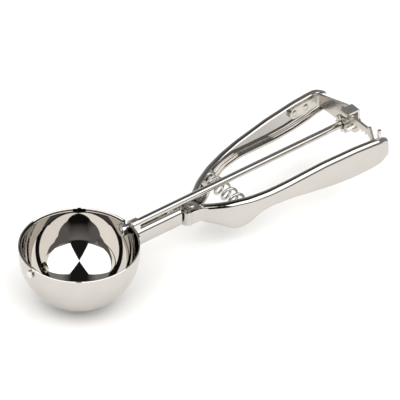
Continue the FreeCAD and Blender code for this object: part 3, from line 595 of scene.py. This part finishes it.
def scraper():
    """Half-widths across the strip, from pole to pole of the axis, on an outer and an inner sphere."""
    along = np.linspace(0, math.pi, 161)
    half = SCRAPER_WIDTH / 2
    across = np.linspace(-1, 1, 15)
    shells = []
    for radius in (SCRAPER_OUTER, SCRAPER_OUTER - SCRAPER_SHEET):
        pole = np.minimum(along, math.pi - along)
        eye_turn = math.asin(EYE / radius)
        eye = np.sqrt(np.maximum(EYE ** 2 - (radius * np.sin(pole)) ** 2, 0))
        reach = np.where(pole < eye_turn, np.maximum(eye, half), half)
        z = across[None, :] * reach[:, None]
        x = -radius * np.cos(along)[:, None] * np.ones_like(z)
        y = np.sqrt(np.maximum(radius ** 2 - x ** 2 - z ** 2, 0))
        shells.append(np.stack([x, y, z + AXIS_Z], axis=2))
    loop = np.concatenate([shells[0], shells[1][:, ::-1]], axis=1)
    rows, columns = loop.shape[:2]
    width = across.size
    faces = grid_faces(rows, columns, False, True).tolist()
    for row in (0, rows - 1):
        base = row * columns
        faces += [[base + k, base + k + 1, base + columns - 2 - k, base + columns - 1 - k]
                  for k in range(width - 1)]
    piece = new_piece("scraper", loop.reshape(-1, 3), faces, "drive", "polished_stainless", MIRROR,
                      "scraper")
    fix_normals(piece)
    crisp(piece, 35)
    print("scraper", len(piece.data.polygons), "faces")


scraper()


# %% [markdown]
# ## Spring
#
# The spring is hard-drawn wire wound on a mandrel, with its last half turn at each end closed flat against
# the seat. A circle is carried along a helix; the pitch falls to nothing at both ends.

# %% Wind the spring
spring_low, spring_high = span("spring")
WIRE_RADIUS = 0.8
COIL_RADIUS = 3.9
COIL_TURNS = 5.5


def spring():
    """Centre line: a circle of the coil's radius whose height runs slowly, evenly, slowly; then a tube."""
    count = 560
    t = np.linspace(0, 1, count)
    rise = np.clip((t - 0.06) / 0.88, 0, 1)
    start, stop = spring_low[1] + WIRE_RADIUS, spring_high[1] - WIRE_RADIUS
    middle_x, middle_z = (spring_low + spring_high)[[0, 2]] / 2
    turn = 2 * math.pi * COIL_TURNS * t
    y = start + (stop - start) * (0.04 * t + 0.96 * rise)
    centre = np.stack([middle_x + COIL_RADIUS * np.cos(turn), y, middle_z + COIL_RADIUS * np.sin(turn)],
                      axis=1)
    forward = np.gradient(centre, axis=0)
    forward /= np.linalg.norm(forward, axis=1, keepdims=True)
    out = np.stack([np.cos(turn), 0 * turn, np.sin(turn)], axis=1)
    side = np.cross(forward, out)
    side /= np.linalg.norm(side, axis=1, keepdims=True)
    ring = np.linspace(0, 2 * math.pi, 20, endpoint=False)
    shape = out[:, None] * np.cos(ring)[None, :, None] + side[:, None] * np.sin(ring)[None, :, None]
    swell = np.ones(count)
    swell[[0, -1]] = 0.0
    grid = centre[:, None] + WIRE_RADIUS * swell[:, None, None] * shape
    piece = surface("spring", grid, False, True, body="scoop_frame", slot="spring_steel", material=WIRE,
                    node="spring")
    fix_normals(piece)
    crisp(piece, 60)
    return piece


coil = spring()
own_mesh(coil)

# %% [markdown]
# ## Neck
#
# The neck is a channel bent from sheet with generous lower corners. Its upper edges are rolled inwards
# under the shaft. Its outline is half a U, mirrored, with the sheet's thickness added inwards. At the
# bowl it is welded to a saddle, a second skin on the bowl's outside whose wings reach round on both
# sides.

# %% Bend the neck
NECK_HALF_WIDTH = 4.4
NECK_WALL = 1.0
NECK_TOP, NECK_BOTTOM = -2.2, -13.2
NECK_CORNER = 3.2
NECK_ROLL, NECK_TURN = 3.4, 84.0    # radius of the rolled upper edges, and how far they turn


def channel_side(half_width, top, bottom, corner, roll, count=12):
    """Half of a U from its top edge to the middle of its underside: roll, side, quarter circle, flat."""
    turn = np.linspace(0, math.pi / 2, count)
    over = np.linspace(math.radians(NECK_TURN), 0, 10)
    side = np.linspace(top - roll, bottom + corner, 8)[1:-1]
    flat = np.linspace(half_width - corner, 0, 5)[1:]
    y = np.concatenate([half_width - roll * (1 - np.cos(over)), np.full(side.size, half_width),
                        half_width - corner * (1 - np.cos(turn)), flat])
    z = np.concatenate([top - roll * (1 - np.sin(over)), side, bottom + corner * (1 - np.sin(turn)),
                        np.full(flat.size, bottom)])
    return np.column_stack([y, z])


def neck():
    halves = [channel_side(NECK_HALF_WIDTH, NECK_TOP, NECK_BOTTOM, NECK_CORNER, NECK_ROLL),
              channel_side(NECK_HALF_WIDTH - NECK_WALL, NECK_TOP - NECK_WALL, NECK_BOTTOM + NECK_WALL,
                           NECK_CORNER - NECK_WALL, NECK_ROLL - NECK_WALL)]
    outer, inner = (np.concatenate([h, (h * (-1, 1))[-2::-1]]) for h in halves)
    loop = np.concatenate([outer, inner[::-1]])
    rows = np.linspace(0, 1, 40)
    start = np.sqrt(np.maximum((BOWL_RADIUS + 0.1) ** 2 - loop[:, 0] ** 2 - np.minimum(loop[:, 1], 0) ** 2,
                               0))
    x = start[None, :] + (NECK_END - start[None, :]) * rows[:, None]
    grid = np.stack([x, np.broadcast_to(loop[:, 0], x.shape),
                     np.broadcast_to(loop[:, 1] + AXIS_Z, x.shape)], axis=2)
    count, columns = x.shape
    faces = grid_faces(count, columns, False, True).tolist()
    for row in (0, count - 1):
        base = row * columns
        faces += [[base + k, base + k + 1, base + columns - 2 - k, base + columns - 1 - k]
                  for k in range(len(outer) - 1)]
    piece = new_piece("neck", grid.reshape(-1, 3), faces, "scoop_frame", "polished_stainless", MIRROR,
                      "neck")
    fix_normals(piece)
    crisp(piece, 40)
    edges = piece.modifiers.new("edges", "BEVEL")
    edges.width, edges.segments, edges.limit_method = 0.2 * MM, 2, "ANGLE"


def saddle():
    """Wings on the bowl's outside: rows of height, from the slot or the middle out to the wing's edge."""
    z = np.linspace(NECK_BOTTOM - 0.2, 3.0, 60)
    edge = np.interp(z, [-13.4, -12.0, -8.6, -4.5, -1.0, 3.0], [5.0, 5.6, 6.8, 12.0, 14.0, 14.0])
    edge = np.where(z > 1.8, edge - 1.2 * (1 - np.sqrt(np.clip(1 - ((z - 1.8) / 1.2) ** 2, 0, 1))), edge)
    inner_edge = np.where(z > -SLOT, SLOT, 0.0)
    for side in (1, -1):
        share = np.linspace(0, 1, 24)[None, :]
        y = inner_edge[:, None] + (edge - inner_edge)[:, None] * share
        shells = []
        for radius in (BOWL_RADIUS + 0.95, BOWL_RADIUS + 0.05):
            below = np.minimum(z, 0)[:, None]
            x = np.sqrt(radius ** 2 - y ** 2 - below ** 2)
            shells.append(np.stack([x, side * y, np.broadcast_to(z[:, None] + AXIS_Z, x.shape)], axis=2))
        loop = np.concatenate([shells[0], shells[1][:, ::-1]], axis=1)
        rows, columns = loop.shape[:2]
        faces = grid_faces(rows, columns, False, True).tolist()
        for row in (0, rows - 1):
            base = row * columns
            faces += [[base + k, base + k + 1, base + columns - 2 - k, base + columns - 1 - k]
                      for k in range(share.size - 1)]
        name = "saddle_rear" if side > 0 else "saddle_front"
        piece = new_piece(name, loop.reshape(-1, 3), faces, "scoop_frame", "polished_stainless", MIRROR)
        fix_normals(piece)
        crisp(piece, 40)


neck()
saddle()

# %% [markdown]
# ## The pieces that keep their measured shape
#
# Small stamped, turned and riveted pieces are right as they are. They only take their finish.

# %% Give the measured pieces their finish
FINISHES = {
    "bowl": MIRROR, "neck": MIRROR, "fixed_handle": MIRROR, "moving_handle": MIRROR, "drive_shaft": MIRROR,
    "scraper": MIRROR, "scraper_pin": TURNED, "pivot_rivet": MIRROR, "strap_rivets": MIRROR,
    "front_bearing": TURNED, "pivot_washers": TURNED, "pivot_spacer": TURNED, "bearing_bracket": SATIN,
    "bracket_rivets": SATIN, "rear_bushing": TURNED, "fixed_spring_seat": TURNED, "spring": WIRE,
    "rack": SATIN, "rack_rivets": SATIN, "rack_pin": TURNED, "moving_spring_seat": TURNED,
    "pinion": SATIN, "scraper_hub": TURNED, "hub_pin": TURNED, "shaft_clip": WIRE,
}
for node, finish in FINISHES.items():
    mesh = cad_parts[node].data
    mesh.materials.clear()
    mesh.materials.append(finish)
print(len(FINISHES), "pieces have a finish;", len(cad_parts) - len(FINISHES), "have none")

# %% [markdown]
# ## Camera
#
# A very long lens from far away, so that lines that are parallel on the scoop stay parallel.

# %% Camera
AZIMUTH, ELEVATION, ROLL = math.radians(-38.6), math.radians(37.7), math.radians(0.25)
LOOK_AT = np.array([59.6, -26.6, 21.2 + AXIS_Z]) * MM
VIEW_WIDTH = 400 / 1911       # metres seen across the picture
DISTANCE = 8.0
BACK = np.array([math.sin(AZIMUTH) * math.cos(ELEVATION), -math.cos(AZIMUTH) * math.cos(ELEVATION),
                 math.sin(ELEVATION)])
RIGHT = np.array([math.cos(AZIMUTH), math.sin(AZIMUTH), 0])
UP = np.cross(BACK, RIGHT)
camera_data = bpy.data.cameras.new("camera")
camera_data.sensor_width = 36.0
camera_data.lens = camera_data.sensor_width * DISTANCE / VIEW_WIDTH
camera_data.clip_start, camera_data.clip_end = 0.1, 20.0
camera = bpy.data.objects.new("camera", camera_data)
bpy.context.scene.collection.objects.link(camera)
turn = Vector(-BACK).to_track_quat("-Z", "Y").to_matrix().to_4x4() @ Matrix.Rotation(ROLL, 4, "Z")
camera.matrix_world = Matrix.Translation(Vector(LOOK_AT + BACK * DISTANCE)) @ turn
bpy.context.scene.camera = camera
print("lens", round(camera_data.lens), "mm")

# %% [markdown]
# ## Floor and light
#
# Polished steel shows the room, so the room is built for it: a pale floor without texture, a dark room
# with a paler far side and paler side walls, and two large white softboxes either side of the camera
# that touch at one corner. The dark gaps above and below that corner give the bowl its black hourglass.
# A wide light overhead that mirrors can't see keeps the floor white and its shadows soft.

# %% Floor
FLOOR_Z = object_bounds()[0][2]


def stage_mesh(name, corners, material):
    """A flat stage piece from its corners in metres."""
    mesh = bpy.data.meshes.new(name)
    mesh.from_pydata([tuple(c) for c in corners], [], [tuple(range(len(corners)))])
    mesh.materials.append(material)
    made = bpy.data.objects.new(name, mesh)
    bpy.context.scene.collection.objects.link(made)
    return made


def floor_material():
    material = bpy.data.materials.new("pale_studio_floor")
    material.use_nodes = True
    shader = material.node_tree.nodes["Principled BSDF"]
    shader.inputs["Base Color"].default_value = linear("#FAF9F7")
    shader.inputs["Roughness"].default_value = 1.0
    shader.inputs["Specular IOR Level"].default_value = 0.0
    return material


FLOOR_HALF = 2.2
stage_mesh("floor", [(x * FLOOR_HALF, y * FLOOR_HALF, FLOOR_Z)
                     for x, y in ((-1, -1), (1, -1), (1, 1), (-1, 1))], floor_material())

# %% [markdown]
# A softbox is a glowing panel. Its corners are directions as the camera sees them, so that its edges
# fall where they are wanted in the curved steel. The left one is the right one's mirror image.

# %% Softboxes


def glow(name, hex_colour, strength):
    material = bpy.data.materials.new(name)
    material.use_nodes = True
    tree = material.node_tree
    tree.nodes.clear()
    shine = add(tree, "ShaderNodeEmission", {"Color": linear(hex_colour), "Strength": strength})
    add(tree, "ShaderNodeOutputMaterial", Surface=shine.outputs["Emission"])
    return material


SOFTBOX_DISTANCE = 1.3


def softbox(name, directions, strength):
    """A white panel whose corners lie in directions given as (right, up, back) of the camera."""
    corners = [SOFTBOX_DISTANCE * (r * RIGHT + u * UP + b * BACK) / math.sqrt(r * r + u * u + b * b)
               for r, u, b in directions]
    return stage_mesh(name, corners, glow(name + "_cloth", "#FFFFFF", strength))


RIGHT_CORNERS = ((0.0, 0.34, 0.94), (0.31, -0.25, 0.92), (0.76, -0.06, 0.65), (0.92, 0.29, 0.28),
                 (0.80, 0.55, 0.22), (0.30, 0.72, 0.63))
softbox("right_softbox", RIGHT_CORNERS, 2.6)
softbox("left_softbox", [(-r, u, b) for r, u, b in RIGHT_CORNERS], 2.4)

# %% Overhead light
overhead = bpy.data.lights.new("overhead", "AREA")
overhead.shape = "SQUARE"
overhead.size = 4.5
overhead.energy = 86.0
overhead_light = bpy.data.objects.new("overhead", overhead)
overhead_light.location = (0.08, 0.0, 2.4)
overhead_light.visible_glossy = False
bpy.context.scene.collection.objects.link(overhead_light)

# %% [markdown]
# The room's walls are a brightness that depends on direction only: it rises towards the far side, and
# towards the right and the left, and the brighter of the two counts.

# %% Dark room with paler far and side walls
DARK = 0.02
FAR_BRIGHTNESS, SIDE_BRIGHTNESS = 0.6, 0.36
world = bpy.data.worlds.new("studio")
bpy.context.scene.world = world
world.use_nodes = True
tree = world.node_tree
tree.nodes.clear()
place = add(tree, "ShaderNodeTexCoord")
far_side = add(tree, "ShaderNodeVectorMath", {"operation": "DOT_PRODUCT", 1: tuple(-BACK)},
               i0=place.outputs["Generated"])
shade = add(tree, "ShaderNodeMapRange",
            {"From Min": -0.4, "From Max": 0.9, "To Min": DARK, "To Max": FAR_BRIGHTNESS},
            Value=far_side.outputs["Value"])
sideways = add(tree, "ShaderNodeVectorMath", {"operation": "DOT_PRODUCT", 1: tuple(RIGHT)},
               i0=place.outputs["Generated"])
aside = add(tree, "ShaderNodeMath", {"operation": "ABSOLUTE"}, i0=sideways.outputs["Value"])
walls = add(tree, "ShaderNodeMapRange",
            {"From Min": 0.24, "From Max": 0.5, "To Min": DARK, "To Max": SIDE_BRIGHTNESS},
            Value=aside.outputs["Value"])
brighter = add(tree, "ShaderNodeMath", {"operation": "MAXIMUM"}, i0=shade.outputs["Result"],
               i1=walls.outputs["Result"])
sky = add(tree, "ShaderNodeBackground", {"Color": linear("#EEEEEE")}, Strength=brighter.outputs["Value"])
add(tree, "ShaderNodeOutputWorld", Surface=sky.outputs["Background"])
bpy.context.scene.view_settings.view_transform = "Standard"
